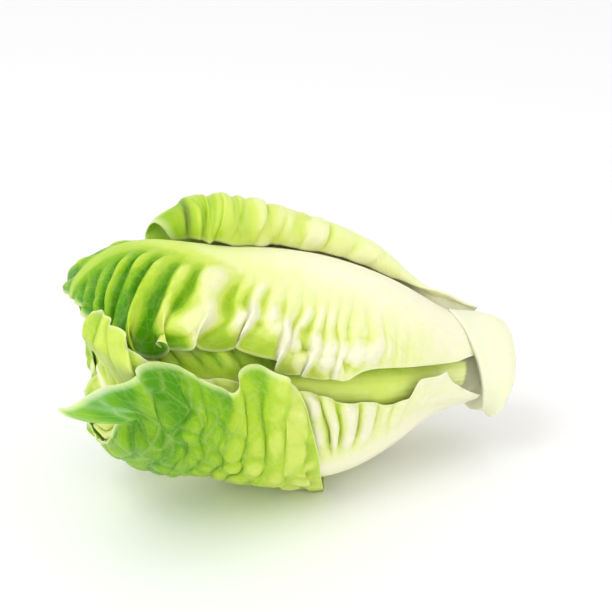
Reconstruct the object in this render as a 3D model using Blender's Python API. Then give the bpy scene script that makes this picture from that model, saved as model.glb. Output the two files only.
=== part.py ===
"""Baby cos lettuce, lying on its side as picked: a pale stump, and leaves wrapped round a tight heart.

The head has one growing axis, from the cut end of the stump at +X to the leaf tips at -X. A smooth barrel
round that axis is the head's form. Every leaf is a sheet laid over it, and its height is raised until it
clears the leaves laid before it. The head is then pushed a little out of round and lies on its belly, with
the tips raised.
"""

import math

import bpy
import numpy as np

MM = 0.001

# The barrel, in millimetres: distance from the cut end, radius. It closes on the axis at the tips.
BARREL = [(2, 18), (12, 19.5), (28, 24.5), (46, 31.5), (66, 37), (86, 40), (106, 40.5), (128, 39.5),
          (146, 36.5), (159, 29.5), (167, 18.5), (169.5, 0)]
BARREL_STEPS = 24  # samples between two points of the barrel
LINE_STEP = 0.5  # mm between the samples that are kept
CAP = 55  # the last stretch of the barrel, where leaves fold over its end, mm
LEAST_RADIUS = 24  # a leaf that doesn't fold keeps its width as if the cap were this wide, mm

# How deep the leaves lie under the barrel, by run along it from the cut end. The heart fills the rest.
DEPTH = [(0, 5.5), (12, 8), (22, 11), (32, 13), (60, 14), (100, 16.5), (150, 16.5), (190, 14)]

LEAN = 13.2  # degrees
PRESS = 1.5  # how far the lowest rib is pressed flat, mm
BELLY = 6.0  # the head is fuller below near its base, mm
BELLY_PLACE = (69, 36)  # middle and half length of that stretch, from the cut end, mm
BELLY_BELOW = (-5, 25)  # it grows over these depths under the axis, mm
SHORT = 10.0  # the far end is shorter below than on top, mm
SHORT_FROM = (100, 165)  # over this stretch, from the cut end, mm
SHORT_BELOW = (-24, 8)  # over these depths under the axis, mm
BASE_UP = 2.5  # the base bends up, mm
BASE_FADE = (8, 45)  # and comes back to the axis over this stretch, from the cut end, mm

STUMP = [(0, 0), (0, 15.2), (1.4, 16.8), (5.5, 17.5), (8.4, 17.0), (9.6, 13.5), (10.8, 9.8), (20, 8.8),
         (27, 7), (29, 0)]  # distance from the cut end, radius, mm
STUMP_SIDES = 32
HEART_START = 29.4  # mm from the cut end
HEART_RINGS = 24
HEART_SIDES = 30
HEART_POLE = 1.5  # the last ring lies this far before the barrel's far end, mm
HEART_POINT = 0.5  # how far the tip stands out of the last ring, mm
HEART_SINK = 2.6  # the bud's smooth core lies this deep under the leafy layer, mm
HEART_LEAVES = 5  # raised as steps on that core
HEART_LEAF_STEP = (0.6, 0.35)  # height of the first, and how much higher each next one is, mm
HEART_LEAF_HALF = 1.25  # half the widest turn that one covers, radians
HEART_LEAF_SHAPE = [(0, 0.5), (0.5, 1.0), (0.8, 0.9), (1, 0.6)]
HEART_TIP = (8, 25)  # the steps fade over this stretch before the barrel's far end, mm
GOLDEN_ANGLE = 137.5  # from one leaf to the next, degrees

BLADE = 1.0  # thickness of a blade, mm
GAP = 0.45  # clear space kept between leaves, mm
SETTLE_ROUNDS = 14
FIRM_ROUNDS = 3  # the last rounds raise every corner by the full lack and smooth nothing
EAGER = 1.5  # how much more than the lack the earlier rounds raise
CELL = 1.2  # cell of the height map of the leaves laid so far, mm
EMPTY = -99.0  # height of a cell where nothing lies yet, mm

# A blade's half width as a share of its widest, against the place along the midrib.
BROAD = [(0, 0.24), (0.12, 0.28), (0.25, 0.45), (0.42, 0.78), (0.6, 0.97), (0.75, 1.0), (0.9, 0.82), (1, 0.4)]

# How far a row leans forward for each millimetre away from the midrib, against the place along it.
SLANT = [(0, 0), (0.2, 0.1), (0.5, 0.35), (0.75, 0.4), (0.9, 0.2), (1, -0.1)]

NARROW_RIB = [(0, 10), (0.4, 7), (0.8, 4), (1, 2)]  # half width of the midrib, mm
WIDE_RIB = [(0, 15), (0.45, 15), (0.6, 11.5), (0.8, 7), (1, 3)]
RIB_HEIGHT = [(0, 0.35), (0.12, 0.8), (0.25, 1), (0.7, 0.35), (1, 0)]  # share of its thickness

# How far a leaf has risen through the leafy layer, against the place along it.
CLIMB = [(0, 0.05), (0.15, 0.4), (0.5, 1), (1, 1)]
LEVEL = [(0, 1), (1, 1)]
HIGH_CLIMB = [(0, 0.55), (0.15, 0.85), (0.5, 1), (1, 1)]

OPENING = (0.2, 0.5)  # the stalk is plain; waves and pleats grow over this stretch of the midrib
WAVY_WIDTH = (12, 36)  # the half widths over which a margin begins to wave, mm
PLEAT_BAND = (0.7, 1.6)  # pleats begin over this stretch beside the midrib, in half widths of the rib
PLEAT_EDGE = (0.75, 0.7)  # from this share of the blade outwards, pleats fade by this share
CURL_PLACE = (0.8, 0.65)  # the tip's corner curls from here on: along the midrib, and across
HOOK_STAND = 75  # how steeply a hooked margin stands up before it rolls over, degrees
HOOK_PLACES = ((0.05, 0.3), (0.25, 1.05))  # it stands up and rolls over these stretches of the half width
HOOK_REACH = 2.4  # length of such a half, for 1 of its plain width
HOOK_SAMPLES = 200


def blade(width, shape=BROAD):
    """One half of a leaf: its half width in millimetres against the place along the midrib."""
    return [(place, share * width) for place, share in shape]


def leaf(turn, start, length, left, right, sweep=0.0, slant=SLANT, skew=0.0, fold=1.0, lift=0.5, climb=CLIMB,
         rise=0.0, rib=3.0, rib_width=NARROW_RIB, wave=(2.0, 2.0), waves=5, flare=(0.0, 0.0),
         flare_from=(0.05, 0.4), hook=0.0, curl=0.0, pleat=0.0, pleats=8, seed=0, rows=16, columns=10):
    """The sizes of one leaf, in millimetres and degrees.

    turn: the midrib's place round the head, 0 in front, 90 on top. sweep: how far the midrib turns by the
    tip. start: distance of its base from the cut end, along the barrel. left and right: the two halves,
    right being the side of growing turn. slant: how far the rows lean forward. skew: how much longer the
    leaf is at its right margin, as a share. fold: 1 where the rows run straight over the cap, 0 where they
    run round the head. lift: its share of the leafy layer. climb: how it gets there. rise: extra height of
    the tip. rib and rib_width: thickness and half width of the midrib. wave: height of each margin's waves.
    flare: how far each margin stands out. flare_from: it grows over this stretch of the midrib. hook: how
    far the left margin rolls over. curl: how far the right corner of the tip stands out. pleat: depth of
    the folds between side veins.
    """
    return dict(turn=turn, start=start, length=length, left=left, right=right, sweep=sweep, slant=slant,
                skew=skew, fold=fold, lift=lift, climb=climb, rise=rise, rib=rib, rib_width=rib_width,
                wave=wave, waves=waves, flare=flare, flare_from=flare_from, hook=hook, curl=curl,
                pleat=pleat, pleats=pleats, seed=seed, rows=rows, columns=columns)


# Halves that are unlike the rest, from the base to the tip, mm.
TOP_FRONT = [(0, 14), (0.1, 21), (0.2, 28), (0.3, 37), (0.38, 50), (0.46, 51), (0.52, 46), (0.6, 46),
             (0.72, 47), (0.82, 45), (0.91, 42), (1, 30)]
FRONT_UPPER = [(0, 12), (0.08, 22), (0.14, 32), (0.18, 32), (0.205, 22), (0.25, 20), (0.27, 22), (0.34, 25),
               (0.46, 31), (0.65, 32), (0.8, 33), (0.9, 40), (1, 46)]
FRONT_LOWER = [(0, 14), (0.1, 18), (0.2, 25), (0.35, 34), (0.6, 42), (0.75, 44), (0.9, 34), (1, 16)]
UNDER_FRONT = [(0, 7), (0.2, 8), (0.32, 13), (0.36, 30), (0.4, 66), (0.44, 84), (0.54, 87), (0.6, 82),
               (0.65, 76), (0.78, 76), (0.85, 70), (0.92, 58), (1, 42)]
UNDER_BACK = [(0, 9), (0.2, 10), (0.35, 18), (0.42, 34), (0.5, 42), (0.75, 42), (0.9, 26), (1, 9)]
UNDER_SLANT = [(0, 0), (0.3, 0.2), (0.45, 0.3), (0.7, 0.24), (1, 0.2)]
HIGH_UPPER = [(0, 10), (0.2, 11), (0.4, 14), (0.6, 17.5), (0.8, 21), (0.92, 19), (1, 10)]
TORN = [(0, 28), (0.5, 29), (1, 27)]

# Laid in this order, from the heart outwards.
LEAVES = {
    "inner_leaf_1": leaf(20, 27, 160, blade(38), blade(38), lift=0.10, rib=2.2, seed=1),
    "inner_leaf_2": leaf(158, 26, 164, blade(38), blade(38), lift=0.15, rib=2.2, seed=2),
    "inner_leaf_3": leaf(-65, 25, 162, blade(40), blade(40), lift=0.20, rib=2.4, seed=3),
    "inner_leaf_4": leaf(75, 23, 166, blade(42), blade(42), lift=0.28, rib=2.4, seed=4),
    "inner_leaf_5": leaf(-148, 21, 168, blade(42), blade(42), lift=0.34, rib=2.6, seed=5),
    "inner_leaf_6": leaf(5, 18, 168, blade(44), blade(44), lift=0.42, rib=2.8, seed=6),
    "back_leaf": leaf(-172, 14.5, 178, blade(50), blade(50), lift=0.55,
                      wave=(2.5, 2.5), seed=7, rows=20, columns=12),
    "low_back_leaf": leaf(-125, 13, 172, blade(50), blade(44), lift=0.62,
                          wave=(2.5, 2.5), seed=9, rows=20, columns=12),
    "top_leaf": leaf(76, 10.5, 168, TOP_FRONT, blade(48), sweep=26, fold=0.4, lift=0.82, climb=HIGH_CLIMB,
                     rise=5, rib=3.2, rib_width=WIDE_RIB, wave=(2.2, 2.2), waves=6, pleat=2.6, pleats=12,
                     seed=10, rows=40, columns=14),
    "front_leaf": leaf(-42, 11.5, 176, FRONT_LOWER, FRONT_UPPER, sweep=10, fold=0.8, lift=0.85, rise=0.5,
                       rib=3.2, wave=(0.4, 2.2), waves=6, flare=(3, 0), flare_from=(0.08, 0.3),
                       pleat=1.4, pleats=12, seed=8, rows=28, columns=14),
    "high_back_leaf": leaf(128, 10.2, 128, HIGH_UPPER, blade(46), sweep=16, fold=0.5, lift=0.95,
                           wave=(2.2, 1.8), waves=6, flare=(0, 2), flare_from=(0.05, 0.36), hook=160,
                           seed=11, rows=20, columns=18),
    "under_leaf": leaf(-112, 10, 150, UNDER_BACK, UNDER_FRONT, sweep=16, slant=UNDER_SLANT, fold=0, lift=0.95,
                       rib=2.8, wave=(2, 2.5), waves=6, flare=(1, 1), curl=28, seed=12, rows=36, columns=16),
    "torn_leaf_base": leaf(24, 1.4, 15, TORN, TORN, slant=[(0, 0), (1, 0)], skew=0.6, lift=1, climb=LEVEL,
                           rib=2.0, rib_width=[(0, 30), (1, 24)], wave=(0, 0), rows=6, columns=12),
}

COLOURS = {  # linear colour and roughness
    "stump": ((0.80, 0.80, 0.60), 0.45),
    "heart": ((0.72, 0.70, 0.22), 0.45),
    "inner": ((0.50, 0.62, 0.12), 0.42),
    "outer": ((0.27, 0.50, 0.06), 0.38),
}


def smooth_through(x, points):
    """The value at x of a smooth curve through the points, which never overshoots them."""
    place, value = np.array(points, float).T
    run = np.diff(place)
    secant = np.diff(value) / run
    before, after = secant[:-1], secant[1:]
    with np.errstate(divide="ignore", invalid="ignore"):
        inner = np.where(before * after > 0, 2 * before * after / (before + after), 0.0)
    slope = np.concatenate([secant[:1], inner, secant[-1:]])
    x = np.clip(x, place[0], place[-1])
    i = np.clip(np.searchsorted(place, x, side="right") - 1, 0, len(run) - 1)
    t = (x - place[i]) / run[i]
    h = run[i]
    return (value[i] * (1 + 2 * t) * (1 - t) ** 2 + slope[i] * h * t * (1 - t) ** 2
            + value[i + 1] * t * t * (3 - 2 * t) + slope[i + 1] * h * t * t * (t - 1))


def step(x, low, high):
    """Rises smoothly from 0 at low to 1 at high."""
    t = np.clip((x - low) / (high - low), 0, 1)
    return t * t * (3 - 2 * t)


def barrel_line():
    """Run along the barrel's outline from the cut end, with station, radius and unit direction there."""
    points = np.array(BARREL, float)
    first = 2 * points[0] - points[1]
    last = points[-2] * (1, -1)  # the outline meets its own mirror image on the axis
    ends = np.vstack([first, points, last])
    t = np.linspace(0, 1, BARREL_STEPS, endpoint=False)[:, None]
    pieces = []
    for a, b, c, d in zip(ends[:-3], ends[1:-2], ends[2:-1], ends[3:]):
        pieces.append(0.5 * (2 * b + (c - a) * t + (2 * a - 5 * b + 4 * c - d) * t**2
                             + (3 * b - a - 3 * c + d) * t**3))
    line = np.vstack(pieces + [points[-1:]])
    run = np.concatenate([[0], np.cumsum(np.hypot(*np.diff(line, axis=0).T))])
    even = np.arange(0, run[-1], LINE_STEP)
    station, radius = (np.interp(even, run, line[:, k]) for k in (0, 1))
    along = np.gradient(np.stack([station, radius], 1), even, axis=0)
    along /= np.linalg.norm(along, axis=1)[:, None]
    return even, station, radius, along


RUN, STATION, RADIUS, ALONG = barrel_line()
END = RUN[-1]  # run of the barrel's far pole


def barrel(run):
    """Station, radius and the outline's direction (along the axis, outwards) at this run."""
    return (np.interp(run, RUN, STATION), np.interp(run, RUN, RADIUS),
            np.interp(run, RUN, ALONG[:, 0]), np.interp(run, RUN, ALONG[:, 1]))


def place_on_barrel(run, turn, height):
    """Points, in millimetres in the head's frame, this high over the barrel; turn is in radians."""
    station, radius, ahead, out = barrel(run)
    station = station - out * height
    radius = radius + ahead * height
    return np.stack([-station, -radius * np.cos(turn), radius * np.sin(turn)], -1)


def to_capsule(run, turn):
    """The barrel as a round-ended tube of radius 1, where points can be mixed even across its pole."""
    left = (END - run) / CAP * math.pi / 2  # a quarter turn over the cap
    radius = np.sin(np.minimum(left, math.pi / 2))
    height = np.where(left < math.pi / 2, np.cos(left), math.pi / 2 - left)
    return np.stack([radius * np.cos(turn), radius * np.sin(turn), height], -1)


def from_capsule(points):
    """Run and turn of points of the round-ended tube."""
    x, y, height = np.moveaxis(points, -1, 0)
    left = np.where(height > 0, np.arctan2(np.hypot(x, y), height), math.pi / 2 - height)
    return END - left * CAP / (math.pi / 2), np.arctan2(y, x)


def turned_aside(points, off):
    """Points of the round end, turned about the line across the midrib's plane by the angle off."""
    x, y, height = np.moveaxis(points, -1, 0)
    return np.stack([x * np.cos(off), y + np.sin(off), height * np.cos(off)], -1)


def leaf_places(size):
    """Run and turn of every point of a leaf's grid, with u along the midrib and v across it, -1 to 1.

    The rows leave the midrib sideways and lean forward as a leaf's side veins do. On the cap they are great
    circles of the round end, so a tip can fold over the pole.
    """
    u = np.linspace(0, 1, size["rows"] + 1)[:, None]
    v = np.linspace(-1, 1, size["columns"] + 1)[None, :]
    u, v = np.broadcast_arrays(u, v)
    width = np.where(v > 0, smooth_through(u, size["right"]), smooth_through(u, size["left"]))
    across = v * width
    ahead = size["length"] * u + smooth_through(u, size["slant"]) * np.abs(across)
    run = size["start"] + ahead * (1 + size["skew"] * v)
    off = across / barrel(np.minimum(run, END - CAP))[1]
    left = np.clip((END - run) / CAP, -1, 1) * math.pi / 2
    straight = to_capsule(END - left * CAP / (math.pi / 2), 0 * off)  # on the midrib, not yet turned aside
    run_over, off_over = from_capsule(turned_aside(straight, off))
    off_round = across / np.maximum(barrel(run)[1], LEAST_RADIUS)
    share = size["fold"] * (END - run < CAP)
    run = run * (1 - share) + run_over * share
    turn = off_round * (1 - share) + off_over * share
    turn += math.radians(size["turn"]) + math.radians(size["sweep"]) * step(u, 0, 1)
    return run, turn, width, u, v


def leaf_relief(size, width, u, v):
    """Height of the pleats that run from the midrib, of the margin's waves and flare, and of the tip.

    The waves are an uneven sine along each margin. The pleats are rounded ridges with sharp valleys.
    """
    side = np.abs(v)
    phase = np.random.default_rng(size["seed"]).uniform(0, 2 * math.pi, 4)
    wave_line = u * size["waves"] * 2 * math.pi + np.where(v > 0, phase[0], phase[1])
    wave_height = np.where(v > 0, size["wave"][1], size["wave"][0]) * side**2.5 * step(width, *WAVY_WIDTH)
    wave = wave_height * np.sin(wave_line + 0.6 * np.sin(wave_line * 0.61 + phase[2]))
    from_rib = side * width / smooth_through(u, size["rib_width"])
    fade_from, fade = PLEAT_EDGE
    band = step(from_rib, *PLEAT_BAND) * (1 - fade * step(side, fade_from, 1))
    fold = u * size["pleats"] + 0.25 * np.sin(u * 17 + phase[3])
    pleat = size["pleat"] * (np.abs(np.sin(math.pi * fold)) ** 0.7 - 0.6) * band
    flare = np.where(v > 0, size["flare"][1], size["flare"][0]) * side**3 * step(u, *size["flare_from"])
    curl = size["curl"] * (step(u, CURL_PLACE[0], 1) * step(v, CURL_PLACE[1], 1)) ** 1.5
    return step(u, *OPENING) * (wave + pleat) + flare + curl + size["rise"] * step(u, 0.6, 0.9)


def hook_form(size, width, u, v):
    """What a left margin that stands up and rolls over adds to the height and to the way outwards.

    Also gives how steep the sheet is there, in radians.
    """
    side = np.linspace(0, 1, HOOK_SAMPLES + 1)
    stands, rolls = HOOK_PLACES
    way = np.radians(HOOK_STAND * step(side, *stands) - size["hook"] * step(side, *rolls))
    out = np.concatenate([[0], np.cumsum(np.cos(way))[:-1]]) / HOOK_SAMPLES
    up = np.concatenate([[0], np.cumsum(np.sin(way))[:-1]]) / HOOK_SAMPLES
    share = step(u, *size["flare_from"]) * (v < 0) * (size["hook"] > 0)
    reach = HOOK_REACH * width * share
    here = np.abs(v)
    way_here = np.interp(here, side, way)
    steep = np.arctan2(reach * np.sin(way_here), reach * np.cos(way_here) + (1 - share) * width)
    return reach * np.interp(here, side, up), reach * np.interp(here, side, out) - share * here * width, steep


def leaf_thickness(size, width, u, v):
    """A thin blade with a midrib that is thick and wide at the base and runs out towards the tip."""
    rib = size["rib"] * smooth_through(u, RIB_HEIGHT)
    return BLADE + rib / (1 + (v * width / smooth_through(u, size["rib_width"])) ** 4)


def triangle_corners(rows, columns):
    """Point numbers of the triangles of a grid, two for each cell."""
    i, j = np.meshgrid(np.arange(rows), np.arange(columns), indexing="ij")
    a = (i * (columns + 1) + j).ravel()
    b, c, d = a + 1, a + columns + 2, a + columns + 1
    swap = (j.ravel() >= columns // 2)[:, None]  # diagonals lean alike on both sides of the midrib
    one = np.where(swap, np.stack([a, b, d], 1), np.stack([a, b, c], 1))
    two = np.where(swap, np.stack([b, c, d], 1), np.stack([a, c, d], 1))
    return np.vstack([one, two])


def spread_in_triangle(count=6):
    """Weights of the three corners at points spread over a triangle."""
    return np.array([(i, j, count - i - j) for i in range(count + 1) for j in range(count + 1 - i)]) / count


def off_barrel(points, run):
    """Run, turn and height of points near the barrel, starting from a first guess of their run."""
    station, radius = -points[..., 0], np.hypot(points[..., 1], points[..., 2])
    for _ in range(2):
        foot_station, foot_radius, ahead, out = barrel(run)
        run = run + (station - foot_station) * ahead + (radius - foot_radius) * out
    foot_station, foot_radius, ahead, out = barrel(run)
    height = (radius - foot_radius) * ahead - (station - foot_station) * out
    return run, np.arctan2(points[..., 2], -points[..., 1]), height


def spots_on(run, turn, height, corners):
    """Run, turn and height of points spread over every flat triangle of a sheet."""
    weights = spread_in_triangle()
    guess, _ = from_capsule(np.einsum("sk,tkx->stx", weights, to_capsule(run, turn).reshape(-1, 3)[corners]))
    points = place_on_barrel(run, turn, height).reshape(-1, 3)[corners]
    return off_barrel(np.einsum("sk,tkx->stx", weights, points), guess)


class HeightMap:
    """The highest surface laid so far over the barrel, in cells of one size."""

    def __init__(self):
        self.rows = int(END / CELL) + 1
        middle = (np.arange(self.rows) + 0.5) * CELL
        self.sides = np.maximum(6, np.rint(2 * math.pi * barrel(middle)[1] / CELL)).astype(int)
        self.cells = np.full((self.rows, self.sides.max()), EMPTY)

    def index(self, run, turn):
        """Row and number of the cells at these places."""
        i = np.clip((run / CELL).astype(int), 0, self.rows - 1)
        sides = self.sides[i]
        return i, np.floor(turn / (2 * math.pi) * sides).astype(int) % sides

    def at(self, run, turn):
        """Heights of the cells at these places."""
        return self.cells[self.index(run, turn)]

    def raise_to(self, run, turn, height):
        """Raises the cells at these places, and the cells next to them."""
        aside = CELL / np.maximum(barrel(run)[1], CELL)
        for a in (-1, 0, 1):
            for b in (-1, 0, 1):
                np.maximum.at(self.cells, self.index(run + a * CELL, turn + b * aside), height)


def eased(extra):
    """Each height as the mean of itself and its neighbours in the grid."""
    wide = np.pad(extra, 1, mode="edge")
    return (4 * extra + wide[:-2, 1:-1] + wide[2:, 1:-1] + wide[1:-1, :-2] + wide[1:-1, 2:]) / 8


def settle(wanted, run, turn, corners, floor_map):
    """Raises the wanted heights smoothly until no point of the sheet is within GAP of what lies below."""
    weights = spread_in_triangle()
    extra = np.zeros(wanted.shape)
    for round_number in range(SETTLE_ROUNDS):
        firm = round_number >= SETTLE_ROUNDS - FIRM_ROUNDS
        run_there, turn_there, height = spots_on(run, turn, wanted + extra, corners)
        lack = floor_map.at(run_there, turn_there) + GAP - height
        share = np.maximum(lack[:, :, None] * (1 if firm else weights[:, None, :] * EAGER), 0).max(0)
        raised = extra.ravel().copy()
        np.maximum.at(raised, corners, raised[corners] + share)
        extra = raised.reshape(wanted.shape)
        if not firm:
            extra = np.maximum(extra, eased(extra))
    return wanted + extra


def lay_leaf(size, floor_map):
    """Inner and outer surface of one leaf, laid on the leaves before it, as points in the head's frame."""
    run, turn, width, u, v = leaf_places(size)
    corners = triangle_corners(size["rows"], size["columns"])
    hook_high, hook_out, steep = hook_form(size, width, u, v)
    aside = np.sign(v) / np.maximum(barrel(run)[1], LEAST_RADIUS)
    turn = turn + hook_out * aside
    lift = size["lift"] * smooth_through(u, size["climb"])
    wanted = -(1 - lift) * smooth_through(run, DEPTH) + leaf_relief(size, width, u, v) + hook_high
    inner = settle(wanted, run, turn, corners, floor_map)
    thick = leaf_thickness(size, width, u, v)
    outer, outer_turn = inner + thick + BLADE * (np.cos(steep) - 1), turn - BLADE * np.sin(steep) * aside
    floor_map.raise_to(*spots_on(run, outer_turn, outer, corners))
    return place_on_barrel(run, turn, inner), place_on_barrel(run, outer_turn, outer), corners


def heart_height(run, turn):
    """The heart is a tight bud: overlapping small leaves as steps over a smooth core."""
    base = -smooth_through(run, DEPTH)
    plate = np.zeros_like(base)
    first, more = HEART_LEAF_STEP
    for k in range(HEART_LEAVES):
        middle = math.radians(GOLDEN_ANGLE * k + 60)
        off = (turn - middle + math.pi) % (2 * math.pi) - math.pi
        half = HEART_LEAF_HALF * smooth_through(run / END, HEART_LEAF_SHAPE) + 0.08 * np.sin(run * 0.35 + k)
        plate = np.maximum(plate, (first + more * k) * np.clip((half - np.abs(off)) * 6, 0, 1))
    return base - HEART_SINK + plate * step(END - run, *HEART_TIP)


def material(name):
    """The plain finish of one kind of tissue."""
    colour, roughness = COLOURS[name]
    found = bpy.data.materials.new(name)
    found.use_nodes = True
    shader = found.node_tree.nodes["Principled BSDF"]
    shader.inputs["Base Color"].default_value = (*colour, 1)
    shader.inputs["Roughness"].default_value = roughness
    shader.inputs["Metallic"].default_value = 0.0
    return found


def add_object(name, points, faces, finish):
    """A closed solid in the scene, in metres."""
    mesh = bpy.data.meshes.new(name)
    mesh.from_pydata((np.asarray(points) * MM).tolist(), [], [list(map(int, f)) for f in faces])
    mesh.materials.append(finish)
    mesh.shade_smooth()
    mesh.set_sharp_from_angle(angle=math.radians(50))
    mesh.update()
    found = bpy.data.objects.new(name, mesh)
    bpy.context.scene.collection.objects.link(found)
    return found


def rim_of(rows, columns):
    """Point numbers round the edge of a grid."""
    wide = columns + 1
    bottom = list(range(columns))
    right = [i * wide + columns for i in range(rows)]
    top = [rows * wide + j for j in range(columns, 0, -1)]
    left = [i * wide for i in range(rows, 0, -1)]
    return np.array(bottom + right + top + left)


def sheet_solid(inner, outer, corners):
    """Points and faces of the solid between two sheets, split alike on both faces."""
    rows, columns = inner.shape[0] - 1, inner.shape[1] - 1
    count = inner.shape[0] * inner.shape[1]
    points = np.vstack([inner.reshape(-1, 3), outer.reshape(-1, 3)])
    edge = rim_of(rows, columns)
    after = np.roll(edge, -1)
    rim = [(a, b, b + count, a + count) for a, b in zip(edge, after)]
    return points, [*corners[:, ::-1], *(corners + count), *rim]


def turned_solid(outline, sides):
    """A solid turned round the growing axis, closed on the axis at both ends."""
    angle = np.arange(sides) * 2 * math.pi / sides
    rings = [np.stack([np.full(sides, -place), -radius * np.cos(angle), radius * np.sin(angle)], 1)
             for place, radius in outline[1:-1]]
    return close_rings(rings, (-outline[0][0], 0, 0), (-outline[-1][0], 0, 0))


def close_rings(rings, first, last):
    """Joins rings of points into one closed surface with a fan at each end."""
    sides = len(rings[0])
    points = np.vstack([*rings, [first], [last]])
    k = np.arange(sides)
    after = (k + 1) % sides
    faces = []
    for row in range(len(rings) - 1):
        a, b = row * sides, (row + 1) * sides
        faces += list(zip(a + after, b + after, b + k, a + k))
    start, end = len(points) - 2, len(points) - 1
    faces += [(start, b, a) for a, b in zip(k, after)]
    top = (len(rings) - 1) * sides
    faces += [(end, top + a, top + b) for a, b in zip(k, after)]
    return points, faces


def heart_solid():
    """Rings of the bud along the barrel, from above the stump to the tip."""
    first = np.interp(HEART_START, STATION, RUN)
    run = np.linspace(first, END - HEART_POLE, HEART_RINGS)
    turn = np.arange(HEART_SIDES) * 2 * math.pi / HEART_SIDES
    run, turn = np.meshgrid(run, turn, indexing="ij")
    height = heart_height(run, turn)
    rings = place_on_barrel(run, turn, height)
    rings[0, :, 0] = -HEART_START
    tip = (rings[-1, :, 0].mean() - HEART_POINT, 0, 0)
    return close_rings(list(rings), (-HEART_START, 0, 0), tip)


def first_map():
    """The height map with the heart and the stump in it."""
    floor_map = HeightMap()
    run, turn = np.meshgrid(np.arange(0, END, CELL / 3), np.radians(np.arange(360)), indexing="ij")
    station, radius, ahead, _ = barrel(run)
    stump = (smooth_through(station, STUMP[2:-1]) - radius) / ahead
    floor_map.raise_to(run, turn, np.where(station < HEART_START, stump, EMPTY))
    floor_map.raise_to(run, turn, np.where(station >= HEART_START - 2 * CELL, heart_height(run, turn), EMPTY))
    return floor_map


def lean(points):
    """Pushes the head out of round, then turns it about the Y axis, so that the tips rise.

    The pushes are smooth: the belly down near the base, the lower far end back, and the base up.
    """
    c, s = math.cos(math.radians(LEAN)), math.sin(math.radians(LEAN))
    x, y, z = np.moveaxis(np.asarray(points, float), -1, 0)
    middle, half = BELLY_PLACE
    down = BELLY * np.exp(-(((-x - middle) / half) ** 2)) * step(-z, *BELLY_BELOW)
    back = SHORT * step(-x, *SHORT_FROM) * step(-z, *SHORT_BELOW)
    up = BASE_UP * (1 - step(-x, *BASE_FADE))
    x, z = x + back, z - down + up
    return np.stack([x * c + z * s, y, z * c - x * s], -1)


def build():
    """Makes every piece, leans the head over and sets it on the surface, centred over the origin."""
    for found in list(bpy.data.objects):
        bpy.data.objects.remove(found)
    finish = {name: material(name) for name in COLOURS}
    solids = {
        "stump": (*turned_solid(STUMP, STUMP_SIDES), finish["stump"]),
        "heart": (*heart_solid(), finish["heart"]),
    }
    floor_map = first_map()
    for name, size in LEAVES.items():
        inner, outer, corners = lay_leaf(size, floor_map)
        colour = finish["inner" if name.startswith("inner") else "outer"]
        solids[name] = (*sheet_solid(inner, outer, corners), colour)
    solids = {name: (lean(points), faces, colour) for name, (points, faces, colour) in solids.items()}
    everything = np.vstack([points for points, _, _ in solids.values()])
    low, high = everything.min(0), everything.max(0)
    shift = np.array([(low[0] + high[0]) / 2, (low[1] + high[1]) / 2, low[2] + PRESS])
    for name, (points, faces, colour) in solids.items():
        points = points - shift
        points[:, 2] = np.maximum(points[:, 2], 0)
        add_object(name, points, faces, colour)


build()
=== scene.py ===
import math

import bpy
import numpy as np
from mathutils import Matrix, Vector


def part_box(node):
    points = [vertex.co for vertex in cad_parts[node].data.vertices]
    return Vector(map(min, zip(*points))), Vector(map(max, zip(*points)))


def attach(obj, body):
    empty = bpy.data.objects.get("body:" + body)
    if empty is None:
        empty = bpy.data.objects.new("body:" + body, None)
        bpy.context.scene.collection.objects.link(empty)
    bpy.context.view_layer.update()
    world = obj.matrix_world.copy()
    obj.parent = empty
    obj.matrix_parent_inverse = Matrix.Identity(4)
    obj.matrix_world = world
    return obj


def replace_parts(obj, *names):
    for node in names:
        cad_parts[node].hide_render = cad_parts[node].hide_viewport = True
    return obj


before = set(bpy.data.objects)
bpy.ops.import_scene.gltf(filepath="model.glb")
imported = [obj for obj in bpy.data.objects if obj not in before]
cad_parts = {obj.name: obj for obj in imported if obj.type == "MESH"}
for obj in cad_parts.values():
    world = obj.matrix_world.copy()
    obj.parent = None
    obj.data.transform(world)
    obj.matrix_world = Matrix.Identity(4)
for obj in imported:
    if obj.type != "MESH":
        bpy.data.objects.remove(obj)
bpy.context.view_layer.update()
print("frame loaded:", len(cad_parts), "nodes")

# Lengths below are in millimetres in the head's own frame: the growing axis runs from the cut end of the
# stump at 0 along -X, and turn goes round it, 0 in front and 90 degrees on top. inMetres() leans the head
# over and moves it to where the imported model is.
mm = 0.001

headForm = dict(
    barrel=[(2, 18), (12, 19.5), (28, 24.5), (46, 31.5), (66, 37), (86, 40), (106, 40.5), (128, 39.5),
            (146, 36.5), (159, 29.5), (167, 18.5), (169.5, 0)],  # distance from the cut end, radius
    cap=55,  # the stretch of the barrel where leaves fold over its end
    leastRadius=24,  # a leaf that doesn't fold keeps its width as if the cap were this wide
    depth=[(0, 5.5), (12, 8), (22, 11), (32, 13), (60, 14), (100, 16.5), (150, 16.5),
           (190, 14)],  # distance along the outline, thickness of the leafy layer
    ribTaper=[(0, 0.35), (0.12, 0.8), (0.25, 1), (0.7, 0.35), (1, 0)],  # a midrib's height from base to tip
    lean=13.2,  # degrees
    belly=6.0, bellyPlace=69, bellyHalf=36, bellyBelow=(-5, 25),  # fuller below near the base
    short=10.0, shortFrom=(100, 165), shortBelow=(-24, 8),  # the far end is shorter below than on top
    baseUp=2.5, baseFade=(8, 45),  # the base bends up
    blade=1.0,  # a blade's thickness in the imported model
    gap=0.45,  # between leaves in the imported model
    cell=1.2,  # of the height map
    fineGap=0.2,  # between the finished leaves
    sunk=1.3,  # how far a torn edge comes down on what it grew on
)


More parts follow.
